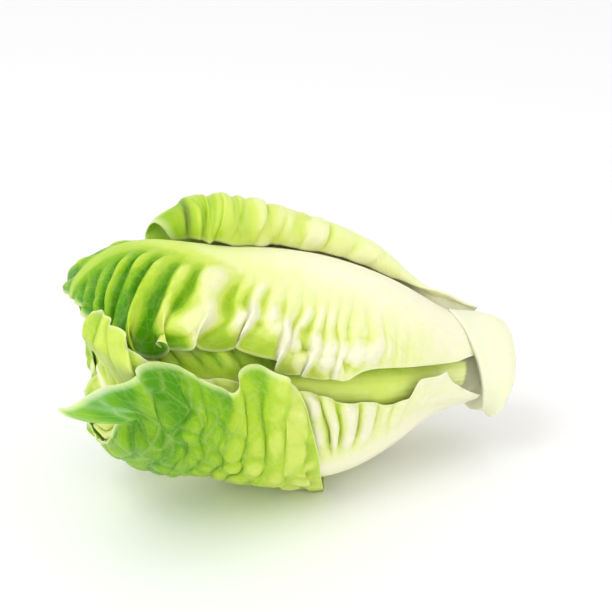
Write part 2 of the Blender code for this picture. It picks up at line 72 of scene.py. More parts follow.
def smoothThrough(x, points):
    # a cubic between each two points, with the harmonic mean of the slopes on both sides as its slope there
    place, value = np.array(points, float).T
    gap = np.diff(place)
    secant = np.diff(value) / gap
    before, after = secant[:-1], secant[1:]
    with np.errstate(divide="ignore", invalid="ignore"):
        inner = np.where(before * after > 0, 2 * before * after / (before + after), 0.0)
    slope = np.concatenate([secant[:1], inner, secant[-1:]])
    x = np.clip(x, place[0], place[-1])
    i = np.clip(np.searchsorted(place, x, side="right") - 1, 0, len(gap) - 1)
    t = (x - place[i]) / gap[i]
    return (value[i] * (1 + 2 * t) * (1 - t) ** 2 + slope[i] * gap[i] * t * (1 - t) ** 2
            + value[i + 1] * t * t * (3 - 2 * t) + slope[i + 1] * gap[i] * t * t * (t - 1))


def rise(x, low, high):
    # 0 below low, 1 above high, and the curve 3t^2 - 2t^3 between them
    t = np.clip((x - low) / (high - low), 0, 1)
    return t * t * (3 - 2 * t)


def softNoise(x, y, seed):
    # random values at whole places, eased between them, from -1 to 1
    table = np.random.default_rng(seed).uniform(-1, 1, (64, 64))
    i, j = np.floor(x).astype(int), np.floor(y).astype(int)
    s, t = rise(x - i, 0, 1), rise(y - j, 0, 1)
    a, b = table[i % 64, j % 64], table[(i + 1) % 64, j % 64]
    c, d = table[i % 64, (j + 1) % 64], table[(i + 1) % 64, (j + 1) % 64]
    return (a * (1 - s) + b * s) * (1 - t) + (c * (1 - s) + d * s) * t


def cells(x, y, seed, loose=0.8):
    # one point in each unit square, moved at random; distance to the nearest point and to the second nearest
    table = np.random.default_rng(seed).uniform(-loose / 2, loose / 2, (64, 64, 2))
    i, j = np.floor(x).astype(int), np.floor(y).astype(int)
    first = np.full(np.shape(x), 9.0)
    second = first.copy()
    for a in (-1, 0, 1):
        for b in (-1, 0, 1):
            off = table[(i + a) % 64, (j + b) % 64]
            far = np.hypot(i + a + 0.5 + off[..., 0] - x, j + b + 0.5 + off[..., 1] - y)
            second = np.minimum(second, np.maximum(first, far))
            first = np.minimum(first, far)
    return first, second


def barrelLine(samples=24, spacing=0.5):
    # a Catmull-Rom curve through the barrel's points, mirrored at the far pole and sampled evenly
    points = np.array(headForm["barrel"], float)
    ends = np.vstack([2 * points[0] - points[1], points, points[-2] * (1, -1)])
    t = np.linspace(0, 1, samples, endpoint=False)[:, None]
    pieces = []
    for a, b, c, d in zip(ends[:-3], ends[1:-2], ends[2:-1], ends[3:]):
        pieces.append(0.5 * (2 * b + (c - a) * t + (2 * a - 5 * b + 4 * c - d) * t**2
                             + (3 * b - a - 3 * c + d) * t**3))
    line = np.vstack(pieces + [points[-1:]])
    run = np.concatenate([[0], np.cumsum(np.hypot(*np.diff(line, axis=0).T))])
    even = np.arange(0, run[-1], spacing)
    station, radius = (np.interp(even, run, line[:, k]) for k in (0, 1))
    along = np.gradient(np.stack([station, radius], 1), even, axis=0)
    along /= np.linalg.norm(along, axis=1)[:, None]
    return even, station, radius, along


lineRun, lineStation, lineRadius, lineAlong = barrelLine()
endRun = lineRun[-1]


def barrelAt(run):
    # station, radius and direction of the barrel's outline, read along its length
    return (np.interp(run, lineRun, lineStation), np.interp(run, lineRun, lineRadius),
            np.interp(run, lineRun, lineAlong[:, 0]), np.interp(run, lineRun, lineAlong[:, 1]))


def onBarrel(run, turn, height):
    # the barrel's point at this run and turn, moved out along its normal
    station, radius, ahead, out = barrelAt(run)
    station = station - out * height
    radius = radius + ahead * height
    return np.stack([-station, -radius * np.cos(turn), radius * np.sin(turn)], -1)


def toCapsule(run, turn):
    # the barrel as a round-ended tube of radius 1: a quarter circle over the cap, straight before it
    left = (endRun - run) / headForm["cap"] * math.pi / 2
    radius = np.sin(np.minimum(left, math.pi / 2))
    height = np.where(left < math.pi / 2, np.cos(left), math.pi / 2 - left)
    return np.stack([radius * np.cos(turn), radius * np.sin(turn), height], -1)


def fromCapsule(points):
    # run and turn of points of the round-ended tube
    x, y, height = np.moveaxis(points, -1, 0)
    left = np.where(height > 0, np.arctan2(np.hypot(x, y), height), math.pi / 2 - height)
    return endRun - left * headForm["cap"] / (math.pi / 2), np.arctan2(y, x)


def leafPlaces(leaf, u, v):
    # run = start + length u + slant |across|, turn = across / radius; over the cap a share of each row runs
    # straight on as a great circle of the round end
    width = np.where(v > 0, smoothThrough(u, leaf["right"]), smoothThrough(u, leaf["left"]))
    across = v * width
    ahead = leaf["length"] * u + smoothThrough(u, leaf["slant"]) * np.abs(across)
    run = leaf["start"] + ahead * (1 + leaf["skew"] * v)
    cap = headForm["cap"]
    off = across / barrelAt(np.minimum(run, endRun - cap))[1]
    left = np.clip((endRun - run) / cap, -1, 1) * math.pi / 2
    straight = toCapsule(endRun - left * cap / (math.pi / 2), 0 * off)
    x, y, z = np.moveaxis(straight, -1, 0)
    runOver, offOver = fromCapsule(np.stack([x * np.cos(off), y + np.sin(off), z * np.cos(off)], -1))
    offRound = across / np.maximum(barrelAt(run)[1], headForm["leastRadius"])
    share = leaf["fold"] * (endRun - run < cap)
    turn = offRound * (1 - share) + offOver * share
    turn += math.radians(leaf["turn"]) + math.radians(leaf["sweep"]) * rise(u, 0, 1)
    return run * (1 - share) + runOver * share, turn, width


def leafPhases(leaf):
    return np.random.default_rng(leaf["seed"]).uniform(0, 2 * math.pi, 4)


def bySide(leaf, name, v):
    # of a pair of values, the first on the left half and the second on the right
    return np.where(v > 0, leaf[name][1], leaf[name][0])


def ribsAway(leaf, across, u):
    # distance from the midrib's middle, in half widths of the midrib
    return across / smoothThrough(u, leaf["ribWidth"])


def marginForm(leaf, width, u, v):
    # height of an uneven sine along each margin, of the margin's flare, of the tip's rise and curled corner
    side = np.abs(v)
    phase = leafPhases(leaf)
    line = u * leaf["waves"] * 2 * math.pi + np.where(v > 0, phase[0], phase[1])
    high = bySide(leaf, "wave", v) * side**2.5 * rise(width, 12, 36)
    wave = high * np.sin(line + 0.6 * np.sin(line * 0.61 + phase[2]))
    flare = bySide(leaf, "flare", v) * side**3 * rise(u, *leaf["flareFrom"])
    curl = leaf["curl"] * (rise(u, 0.8, 1) * rise(v, 0.65, 1)) ** 1.5
    return rise(u, 0.2, 0.5) * wave + flare + curl + leaf["lift"][1] * rise(u, 0.6, 0.9)


hookForm = dict(
    stand=75, standPlace=(0.05, 0.3),  # degrees that the margin stands up, and where across the blade
    rollPlace=(0.25, 1.05),  # where it rolls over
    reach=2.4,  # its length, in widths of the blade seen flat
    samples=200,
)


def hookedOver(leaf, width, u, v, more=0.0):
    # the left margin first stands up, then rolls over: its direction rises by "stand" and falls by "hook".
    # Gives what that adds to height and to the way outwards, and how steep the margin is
    side = np.linspace(0, 1, hookForm["samples"] + 1)
    way = np.radians(hookForm["stand"] * rise(side, *hookForm["standPlace"])
                     - (leaf["hook"] + more) * rise(side, *hookForm["rollPlace"]))
    out = np.concatenate([[0], np.cumsum(np.cos(way))[:-1]]) / hookForm["samples"]
    up = np.concatenate([[0], np.cumsum(np.sin(way))[:-1]]) / hookForm["samples"]
    share = rise(u, *leaf["flareFrom"]) * (v < 0) * (leaf["hook"] > 0)
    reach = hookForm["reach"] * width * share
    here = np.abs(v)
    wayHere = np.interp(here, side, way)
    steep = np.arctan2(reach * np.sin(wayHere), reach * np.cos(wayHere) + (1 - share) * width)
    return reach * np.interp(here, side, up), reach * np.interp(here, side, out) - share * here * width, steep


def pleatLine(leaf, u):
    # whole numbers lie in the valleys between side veins
    return u * leaf["pleats"] + 0.25 * np.sin(u * 17 + leafPhases(leaf)[3])


def plainPleats(leaf, width, u, v):
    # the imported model's pleats: |sin| of the pleat line, beside the midrib and less near the margin
    side = np.abs(v)
    band = rise(ribsAway(leaf, side * width, u), 0.7, 1.6) * (1 - 0.7 * rise(side, 0.75, 1))
    ridge = np.abs(np.sin(math.pi * pleatLine(leaf, u))) ** 0.7 - 0.6
    return leaf["pleat"] * ridge * band * rise(u, 0.2, 0.5)


def ribShape(leaf, width, u, v):
    # 1 on the midrib, falling off as 1 / (1 + x^4) beside it
    return 1 / (1 + ribsAway(leaf, v * width, u) ** 4)


def ribHeight(leaf, width, u, v):
    # the midrib's taper along the leaf times its shape across
    return leaf["rib"] * smoothThrough(u, headForm["ribTaper"]) * ribShape(leaf, width, u, v)


# The height map: the highest surface laid so far over the barrel, in cells of one size.
mapRows = int(endRun / headForm["cell"]) + 1
mapSides = np.maximum(6, np.rint(2 * math.pi * barrelAt((np.arange(mapRows) + 0.5) * headForm["cell"])[1]
                                 / headForm["cell"])).astype(int)


def newMap():
    # one row of cells for each step along the outline, with as many cells round as it needs
    return np.full((mapRows, mapSides.max()), -99.0)


def mapCell(run, turn):
    i = np.clip((run / headForm["cell"]).astype(int), 0, mapRows - 1)
    return i, np.floor(turn / (2 * math.pi) * mapSides[i]).astype(int) % mapSides[i]


def raiseMap(heights, run, turn, height):
    # each place raises its own cell and the eight round it
    cell = headForm["cell"]
    aside = cell / np.maximum(barrelAt(run)[1], cell)
    for a in (-1, 0, 1):
        for b in (-1, 0, 1):
            np.maximum.at(heights, mapCell(run + a * cell, turn + b * aside), height)


def leafGrid(rows, columns):
    # u from base to tip and v from the left margin to the right
    return np.meshgrid(np.linspace(0, 1, rows + 1), np.linspace(-1, 1, columns + 1), indexing="ij")


def triangleCorners(rows, columns):
    # two triangles for each cell of a grid, split alike on both sides of the midrib
    i, j = np.meshgrid(np.arange(rows), np.arange(columns), indexing="ij")
    a = (i * (columns + 1) + j).ravel()
    b, c, d = a + 1, a + columns + 2, a + columns + 1
    swap = (j.ravel() >= columns // 2)[:, None]
    one = np.where(swap, np.stack([a, b, d], 1), np.stack([a, b, c], 1))
    two = np.where(swap, np.stack([b, c, d], 1), np.stack([a, c, d], 1))
    return np.vstack([one, two])


spread = np.array([(i, j, 6 - i - j) for i in range(7) for j in range(7 - i)]) / 6  # over a triangle


def spotsOn(run, turn, height, corners):
    # run, turn and height of points spread over every flat triangle of a sheet
    foot, _ = fromCapsule(np.einsum("sk,tkx->stx", spread, toCapsule(run, turn).reshape(-1, 3)[corners]))
    points = np.einsum("sk,tkx->stx", spread, onBarrel(run, turn, height).reshape(-1, 3)[corners])
    return offBarrel(points, foot)


def offBarrel(points, run):
    # two steps along the outline bring the foot of each point's normal close enough
    station, radius = -points[..., 0], np.hypot(points[..., 1], points[..., 2])
    for _ in range(2):
        footStation, footRadius, ahead, out = barrelAt(run)
        run = run + (station - footStation) * ahead + (radius - footRadius) * out
    footStation, footRadius, ahead, out = barrelAt(run)
    height = (radius - footRadius) * ahead - (station - footStation) * out
    return run, np.arctan2(points[..., 2], -points[..., 1]), height


def eased(values):
    # each value as the mean of itself and its neighbours in the grid
    wide = np.pad(values, 1, mode="edge")
    return (4 * values + wide[:-2, 1:-1] + wide[2:, 1:-1] + wide[1:-1, :-2] + wide[1:-1, 2:]) / 8


def settled(wanted, run, turn, corners, heights, rounds=14, firmRounds=3, eager=1.5):
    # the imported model's rule: raise the corners of each triangle until no point of it is too close below
    extra = np.zeros(wanted.shape)
    for k in range(rounds):
        firm = k >= rounds - firmRounds
        runThere, turnThere, height = spotsOn(run, turn, wanted + extra, corners)
        lack = heights[mapCell(runThere, turnThere)] + headForm["gap"] - height
        share = np.maximum(lack[:, :, None] * (1 if firm else spread[:, None, :] * eager), 0).max(0)
        raised = extra.ravel().copy()
        np.maximum.at(raised, corners, raised[corners] + share)
        extra = raised.reshape(wanted.shape)
        if not firm:
            extra = np.maximum(extra, eased(extra))
    return wanted + extra


heartForm = dict(
    start=29.4,  # from the cut end
    sink=2.6,  # below the leafy layer
    leaves=5, goldenAngle=137.5, firstTurn=60,  # degrees
    half=1.25,  # half width of a leaf, in radians
    outline=[(0, 0.5), (0.5, 1.0), (0.8, 0.9), (1, 0.6)],
    rows=90, sides=140, crumple=0.35,  # of the finished bud
)


def heartHeight(run, turn):
    # overlapping small leaves as steps over a smooth core, each a golden angle after the last
    base = -smoothThrough(run, headForm["depth"])
    plate = np.zeros_like(base)
    for k in range(heartForm["leaves"]):
        middle = math.radians(heartForm["goldenAngle"] * k + heartForm["firstTurn"])
        off = (turn - middle + math.pi) % (2 * math.pi) - math.pi
        half = heartForm["half"] * smoothThrough(run / endRun, heartForm["outline"])
        half = half + 0.08 * np.sin(run * 0.35 + k)
        plate = np.maximum(plate, (0.6 + 0.35 * k) * np.clip((half - np.abs(off)) * 6, 0, 1))
    return base - heartForm["sink"] + plate * rise(endRun - run, 8, 25)


stumpForm = dict(
    outline=[(0, 0), (0, 15.2), (1.4, 16.8), (5.5, 17.5), (8.4, 17.0), (9.6, 13.5), (10.8, 9.8), (20, 8.8),
             (27, 7), (29, 0)],  # distance from the cut end, radius
    sides=160, waver=(0.012, 0.01),  # of the finished stump: how far out of round, in threes and at random
)


def firstMap(step):
    # the stump and the heart, seen from the barrel
    heights = newMap()
    run, turn = np.meshgrid(np.arange(0, endRun, step), np.radians(np.arange(360)), indexing="ij")
    station, radius, ahead, _ = barrelAt(run)
    stump = (smoothThrough(station, stumpForm["outline"][2:-1]) - radius) / ahead
    raiseMap(heights, run, turn, np.where(station < heartForm["start"], stump, -99))
    inHeart = station >= heartForm["start"] - 2 * headForm["cell"]
    raiseMap(heights, run, turn, np.where(inHeart, heartHeight(run, turn), -99))
    return heights


print("barrel of", round(endRun), "mm")

# How far a row leans forward for each millimetre away from the midrib, and half outlines from base to tip.
commonSlant = [(0, 0), (0.2, 0.1), (0.5, 0.35), (0.75, 0.4), (0.9, 0.2), (1, -0.1)]
broadBlade = [(0, 0.24), (0.12, 0.28), (0.25, 0.45), (0.42, 0.78), (0.6, 0.97), (0.75, 1.0), (0.9, 0.82),
              (1, 0.4)]
narrowRib = [(0, 10), (0.4, 7), (0.8, 4), (1, 2)]  # half width of the midrib


def halfBlade(width):
    return [(place, share * width) for place, share in broadBlade]


commonLeaf = dict(
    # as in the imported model; left is the side of falling turn, each pair is for left and right, and "hook" is
    # how far the left margin rolls over, in degrees
    sweep=0.0, slant=commonSlant, skew=0.0, fold=1.0,
    lift=(0.5, 0.0), climb=[(0, 0.05), (0.15, 0.4), (0.5, 1), (1, 1)],
    rib=3.0, ribWidth=narrowRib, wave=(2.0, 2.0), waves=5,
    flare=(0.0, 0.0), flareFrom=(0.05, 0.4), hook=0.0, curl=0.0,
    pleat=0.0, pleats=8, plainGrid=(16, 10),
    # the finished surface, in mm
    grid=(70, 46),
    folds=(0.0, 0.0), foldCount=18, foldWarp=[(0, 0), (1, 1)],  # depth of the folds on each half, how many
    valleys=(), valleySide=-1,  # or on one side: where each valley starts and ends, the next ridge's height
    foldBend=0.5, foldStray=1.5,  # how the folds curve and wander
    foldLean=0.7, foldTilt=0.3,  # how far their sides and their tops lean
    knuckle=0.5, scallop=0.0,  # lumps along them, and how far they bulge out of the margin
    roll=(0.0, 0.0), rollPlace=0.84,  # a thick roll along the margin
    blister=(0.5, 9.0),  # height and size of the puffed cells between veins
    ruffle=(1.0, 1.0), ruffleLength=13.0,  # the margin's frill
    undulation=0.8, hookMore=0.0,  # slow swells; how much further the finished margin rolls
    tipRound=6.0,  # how far the tip's corners are drawn back
    thin=0.5, sunk=0,  # a blade's thickness; 1 where its inner face is grown into what lies below
    green=[(0, 0.05), (0.3, 0.2), (0.9, 0.5)],  # from base to tip
    ribPale=0.7,  # how much paler the midrib is
    veinShow=0.4, relief=0.3,  # how pale the veins are; how much painted shade makes the hollows of the relief greener and darker than its ridges
)


def newLeaf(turn, start, length, left, right, seed, **other):
    own = dict(turn=turn, start=start, length=length, left=left, right=right, seed=seed)
    return {**commonLeaf, **own, **other}


leaves = {
    "inner_leaf_1": newLeaf(20, 27, 160, halfBlade(38), halfBlade(38), 1, lift=(0.10, 0), rib=2.2),
    "inner_leaf_2": newLeaf(158, 26, 164, halfBlade(38), halfBlade(38), 2, lift=(0.15, 0), rib=2.2),
    "inner_leaf_3": newLeaf(-65, 25, 162, halfBlade(40), halfBlade(40), 3, lift=(0.20, 0), rib=2.4),
    "inner_leaf_4": newLeaf(75, 23, 166, halfBlade(42), halfBlade(42), 4, lift=(0.28, 0), rib=2.4),
    "inner_leaf_5": newLeaf(-148, 21, 168, halfBlade(42), halfBlade(42), 5, lift=(0.34, 0), rib=2.6),
    "inner_leaf_6": newLeaf(5, 18, 168, halfBlade(44), halfBlade(44), 6, lift=(0.42, 0), rib=2.8,
                            grid=(150, 90), folds=(1.2, 1.2), foldCount=19,
                            green=[(0, 0.35), (0.2, 0.6), (0.6, 0.68), (1, 0.8)], ribPale=0.25),
    "back_leaf": newLeaf(-172, 14.5, 178, halfBlade(50), halfBlade(50), 7, lift=(0.55, 0), wave=(2.5, 2.5),
                         plainGrid=(20, 12), grid=(160, 90), folds=(1.5, 1.5), blister=(1.0, 9.0),
                         ruffle=(2.0, 2.0), green=[(0, 0), (0.4, 0.2), (0.7, 0.5), (1, 0.85)]),
    "low_back_leaf": newLeaf(-125, 13, 172, halfBlade(50), halfBlade(44), 9, lift=(0.62, 0), wave=(2.5, 2.5),
                             plainGrid=(20, 12), grid=(160, 90), folds=(1.5, 1.5), blister=(1.0, 9.0),
                             ruffle=(2.0, 2.0), green=[(0, 0), (0.4, 0.2), (0.7, 0.5), (1, 0.85)]),
    "top_leaf": newLeaf(
        76, 10.5, 168,
        [(0, 14), (0.1, 21), (0.2, 30), (0.3, 40), (0.38, 50), (0.46, 51), (0.52, 46), (0.6, 46), (0.72, 47),
         (0.82, 45), (0.91, 42), (1, 30)],
        halfBlade(48), 10, sweep=26, fold=0.4, lift=(0.82, 5),
        climb=[(0, 0.55), (0.15, 0.85), (0.5, 1), (1, 1)], rib=3.2,
        ribWidth=[(0, 15), (0.45, 15), (0.6, 11.5), (0.8, 7), (1, 3)], wave=(2.2, 2.2), waves=6, pleat=2.6,
        pleats=12, plainGrid=(40, 14), grid=(310, 150), folds=(3.0, 2.2), foldCount=23,
        foldWarp=[(0, 0), (0.6, 0.68), (1, 1)], foldBend=0.8,
        valleys=[(56, 56, 0.9), (61, 62, 1.4), (65.5, 65, 1.7), (70, 69, 1.5), (74.5, 74, 2.0),
                 (80, 79, 1.5), (85, 85, 2.0), (91, 92, 2.2), (96, 98, 1.8), (99, 104, 5.0),
                 (114, 122, 3.0), (122, 131, 3.4), (130, 147, 2.8), (139, 160, 3.2), (148, 170, 2.4)],
        foldLean=0.2, knuckle=1.2, roll=(4.5, 1.0), rollPlace=0.8,
        ruffle=(4.4, 2.0), ruffleLength=12.5, undulation=1.4,
        tipRound=2.0, blister=(0.5, 6.5), veinShow=0.1,
        green=[(0, 0.03), (0.2, 0.12), (0.5, 0.2), (0.62, 0.36), (0.74, 0.66), (0.84, 0.95), (1, 1.08)],
        ribPale=0.3),
    "front_leaf": newLeaf(
        -42, 11.5, 176,
        [(0, 14), (0.1, 18), (0.2, 25), (0.35, 34), (0.6, 42), (0.75, 44), (0.9, 34), (1, 16)],
        [(0, 12), (0.08, 22), (0.14, 32), (0.18, 32), (0.205, 25), (0.25, 24), (0.27, 26), (0.34, 29),
         (0.46, 33), (0.65, 32), (0.8, 33), (0.9, 36), (1, 34)],
        8, sweep=10, fold=0.8, lift=(0.85, 0.5), rib=3.2, wave=(0.4, 2.2), waves=6, flare=(3, 0),
        flareFrom=(0.08, 0.3), pleat=1.4, pleats=12,
        plainGrid=(28, 14), grid=(280, 110), folds=(1.6, 2.2), foldCount=22,
        valleys=[(40, 40, 1.5), (47, 47.5, 3.0), (54.5, 55, 3.6), (61, 62.5, 3.4), (64, 70, 3.0),
                 (72, 78, 2.0), (82, 88, 2.0), (92, 98, 1.8), (103, 108, 1.4), (114, 120, 1.2),
                 (126, 132, 1.0), (138, 144, 0.9), (150, 156, 0.8), (162, 168, 0.8)],
        valleySide=1, knuckle=0.8, scallop=1.6, ruffle=(0.3, 0.6), ruffleLength=11.0, tipRound=0.0,
        blister=(0.6, 8.0), veinShow=0.3, green=[(0, 0.02), (0.2, 0.1), (0.4, 0.3), (0.85, 0.45), (1, 0.6)]),
    "high_back_leaf": newLeaf(
        128, 10.2, 128,
        [(0, 10), (0.2, 11), (0.4, 14), (0.6, 17.5), (0.8, 21), (0.92, 19), (1, 10)],
        halfBlade(46), 11, sweep=16, fold=0.5, lift=(0.95, 0), wave=(2.2, 1.8), waves=6, flare=(0, 2),
        flareFrom=(0.05, 0.36), hook=160.0, hookMore=25.0, plainGrid=(20, 18), grid=(220, 110),
        folds=(0.5, 0.8), foldCount=15, tipRound=5.0, ruffle=(1.2, 1.5), blister=(1.8, 8.0), undulation=2.0,
        green=[(0, 0.05), (0.3, 0.18), (0.6, 0.28), (0.8, 0.5), (1, 0.75)]),
    "under_leaf": newLeaf(
        -112, 10, 150,
        [(0, 9), (0.2, 10), (0.35, 18), (0.42, 34), (0.5, 42), (0.75, 42), (0.9, 26), (1, 9)],
        [(0, 7), (0.2, 8), (0.32, 13), (0.36, 30), (0.4, 66), (0.44, 84), (0.54, 87), (0.6, 82),
         (0.65, 76), (0.78, 76), (0.85, 70), (0.92, 58), (1, 42)],
        12, sweep=16, slant=[(0, 0), (0.3, 0.2), (0.45, 0.3), (0.7, 0.24), (1, 0.2)], fold=0, lift=(0.95, 0),
        rib=2.8, wave=(2, 2.5), waves=6, flare=(1, 1), curl=28, pleats=12,
        plainGrid=(36, 16), grid=(300, 150), tipRound=0.0, folds=(2.2, 0.8), foldCount=15,
        foldBend=0.2, foldStray=3.0, blister=(1.4, 8.5),
        undulation=2.4, ruffle=(2.5, 1.6), ruffleLength=22.0, veinShow=0.25,
        green=[(0, 0.1), (0.35, 0.42), (0.5, 0.55), (0.7, 0.76), (0.85, 0.95), (1, 0.9)]),
    "torn_leaf_base": newLeaf(
        24, 1.4, 15, [(0, 28), (0.5, 29), (1, 27)], [(0, 28), (0.5, 29), (1, 27)], 0, slant=[(0, 0), (1, 0)],
        skew=0.6, lift=(1, 0), climb=[(0, 1), (1, 1)], rib=2.0, ribWidth=[(0, 30), (1, 24)], wave=(0, 0),
        plainGrid=(6, 12), grid=(40, 120), blister=(0, 10.0), ruffle=(0, 0), undulation=0.5, tipRound=0.0,
        thin=2.0, sunk=1),
}


def plainLeaf(leaf, heights):
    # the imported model's height of a leaf's inner surface, less its own relief, on its plain grid
    rows, columns = leaf["plainGrid"]
    u, v = leafGrid(rows, columns)
    run, turn, width = leafPlaces(leaf, u, v)
    corners = triangleCorners(rows, columns)
    share = leaf["lift"][0] * smoothThrough(u, leaf["climb"])
    hookHigh, hookOut, steep = hookedOver(leaf, width, u, v)
    aside = np.sign(v) / np.maximum(barrelAt(run)[1], headForm["leastRadius"])
    turn = turn + hookOut * aside
    relief = marginForm(leaf, width, u, v) + plainPleats(leaf, width, u, v) + hookHigh
    wanted = -(1 - share) * smoothThrough(run, headForm["depth"]) + relief
    inner = settled(wanted, run, turn, corners, heights)
    thick = headForm["blade"] + ribHeight(leaf, width, u, v)
    bladeHigh, bladeOut = headForm["blade"] * (np.cos(steep) - 1), -headForm["blade"] * np.sin(steep)
    outer, outerTurn = inner + thick + bladeHigh, turn + bladeOut * aside
    raiseMap(heights, *spotsOn(run, outerTurn, outer, corners))
    return inner - relief


def between(plain, rows, columns):
    # Catmull-Rom weights along both sides of the grid carry the plain heights to the fine grid
    def weights(count, fine):
        place = np.linspace(0, count, fine + 1)
        i = np.minimum(place.astype(int), count - 1)
        t = place - i
        four = 0.5 * np.stack([-t + 2 * t**2 - t**3, 2 - 5 * t**2 + 3 * t**3,
                               t + 4 * t**2 - 3 * t**3, t**3 - t**2])
        table = np.zeros((fine + 1, count + 1))
        for k in range(4):
            np.add.at(table, (np.arange(fine + 1), np.clip(i + k - 1, 0, count)), four[k])
        return table
    return weights(plain.shape[0] - 1, rows) @ plain @ weights(plain.shape[1] - 1, columns).T


def foldLine(leaf, u, v):
    # counts the folds from the base; whole numbers lie in the valleys. Noise makes them wander; on the listed
    # side each valley runs from its first place, beside the midrib, to its second, 40 mm across
    across = np.abs(v) * np.where(v > 0, smoothThrough(u, leaf["right"]), smoothThrough(u, leaf["left"]))
    place = u * leaf["length"]
    place = place + leaf["foldStray"] * softNoise(place / 13, across / 9 + 20 * (v > 0), leaf["seed"])
    line = leaf["foldCount"] * smoothThrough(place / leaf["length"], leaf["foldWarp"])
    line = line - leaf["foldBend"] * v**2 * rise(u, 0.1, 0.4)
    tall = bySide(leaf, "folds", v) * (0.7 + 0.7 * chance(leaf, 0, np.floor(line)))
    if not leaf["valleys"]:
        return line, tall
    far = np.clip((across - 12) / 28, -0.3, 1.3)
    ends = [a + (b - a) * far for a, b, _ in leaf["valleys"]]
    listed = np.minimum(place - ends[0], 0) / 6 + np.maximum(place - ends[-1], 0) / 9
    for a, b in zip(ends, ends[1:]):
        listed = listed + np.clip((place - a) / (b - a), 0, 1)
    heights = np.array([high for _, _, high in leaf["valleys"]])
    listedTall = heights[np.clip(np.floor(listed).astype(int), 0, len(heights) - 1)]
    here = np.sign(v) == leaf["valleySide"]
    return np.where(here, listed, line), np.where(here, listedTall, tall)


def chance(leaf, kind, number):
    # a value from 0 to 1 for each whole number
    table = np.random.default_rng([leaf["seed"], kind]).uniform(0, 1, 64)
    return table[np.asarray(number).astype(int) % 64]


def finePleats(leaf, width, u, v, line, tall):
    # folds as a trochoid: height from |sin| of the fold line, sharp or round in the valleys, and a shift
    # towards the valleys and of the whole ridge towards the tip. Gives height, shift and the ridge's share
    side = np.abs(v)
    across = side * width
    number = np.floor(line)
    half = 20.0 * (v > 0)
    wave = np.abs(np.sin(math.pi * line))
    sharp = chance(leaf, 1, number)
    ridge = sharp * wave**0.8 + (1 - sharp) * wave**1.8
    begin = ribsAway(leaf, across, u) + 0.3 * softNoise(line * 1.1, half, leaf["seed"] + 3)
    band = rise(begin, 0.7, 2.3) * (1 - 0.4 * rise(side, 0.9, 1)) * rise(u, 0.1, 0.3)
    lump = softNoise(number * 3.1 + 0.5, across / 7, leaf["seed"] + 4)
    creases = np.abs(np.sin(2 * math.pi * line + 1.1 * np.sin(across / 4))) - 0.6
    finer = rise(side, 0.35, 0.8) * creases * wave
    deep = bySide(leaf, "folds", v)
    height = band * (tall * ridge * (1 + 0.3 * leaf["knuckle"] * lump) - 0.45 * deep
                     + 0.35 * leaf["knuckle"] * finer)
    step = np.clip(np.gradient(line, axis=0), 0.004, None)
    pitch = np.clip(leaf["length"] / (line.shape[0] - 1) / step, 3, 14) * (deep > 0)
    lean = leaf["foldLean"] * (0.5 + 0.8 * chance(leaf, 2, number))
    shift = -lean * pitch / (2 * math.pi) * band * np.sin(2 * math.pi * line)
    shift = shift + leaf["foldTilt"] * tall * band * ridge
    return height, shift, ridge * band


def rolled(leaf, width, u, v):
    # a thick roll along each margin: a bump across the leaf at "rollPlace", made of puffs about 9 mm long
    side = np.abs(v)
    along, across = u * leaf["length"], side * width
    high = bySide(leaf, "roll", v)
    place = leaf["rollPlace"] + 0.06 * softNoise(along / 15, 9.0 * (v > 0), leaf["seed"] + 12)
    bump = np.exp(-(((side - place) / 0.13) ** 2))
    first, _ = cells(along / 9.5 + 0.4 * softNoise(across / 6, along / 20, leaf["seed"] + 13), across / 8.5,
                     leaf["seed"] + 14, 1.0)
    puff = np.sqrt(np.clip(1 - (first / 0.85) ** 2, 0, 1))
    return high * bump * (0.15 + 0.85 * puff) * rise(u, 0.22, 0.4) * (1 - 0.6 * rise(u, 0.75, 0.95))


def puffed(leaf, width, u, v):
    # cells about one blister size wide; domes between the veins that run along their edges
    tall, size = leaf["blister"]
    side = np.abs(v)
    along, across = u * leaf["length"], v * width
    x = along / size + 0.35 * softNoise(along / 15, across / 13, leaf["seed"] + 3) + 0.25 * across / size
    y = across / size * 0.8 + 0.35 * softNoise(along / 12, across / 15, leaf["seed"] + 4)
    first, second = cells(x, y, leaf["seed"] + 5, 1.0)
    edge = second - first
    mask = rise(ribsAway(leaf, np.abs(across), u), 0.9, 2.4) * rise(u, 0.12, 0.4)
    mask = mask * (1 - 0.5 * rise(side, 0.85, 1))
    dome = 0.55 * rise(edge, 0, 0.45) + 0.45 * np.clip(1 - 2.2 * first**2, 0, 1) - 0.5
    uneven = 0.75 + 0.5 * softNoise(x * 0.9, y * 0.9, leaf["seed"] + 15)
    return tall * uneven * dome * mask, np.exp(-(edge / 0.08) ** 2) * mask


def frill(leaf, width, u, v, ridge):
    # a sine along each margin, in height and a quarter turn behind it along the leaf, so that it curls over;
    # where there are folds, each bulges out of the margin. Gives height, shift along and shift outwards
    side = np.abs(v)
    high = bySide(leaf, "ruffle", v) * rise(u, 0.22, 0.45) * rise(width, 10, 25)
    line = 2 * math.pi * (u * leaf["length"] / leaf["ruffleLength"]
                          + 0.8 * softNoise(u * leaf["length"] / 21, 7.7 * (v > 0), leaf["seed"] + 6))
    high = high * (0.75 + 0.5 * softNoise(u * leaf["length"] / 16, 3.3 * (v > 0), leaf["seed"] + 7))
    near = side**5
    bulge = leaf["scallop"] * (ridge - 0.5) * side**4 * (1 - rise(u, 0.45, 0.6))
    out = bulge - 0.35 * high * near * (1 + np.sin(line))
    return high * near * np.sin(line), 0.8 * high * near * np.cos(line), out


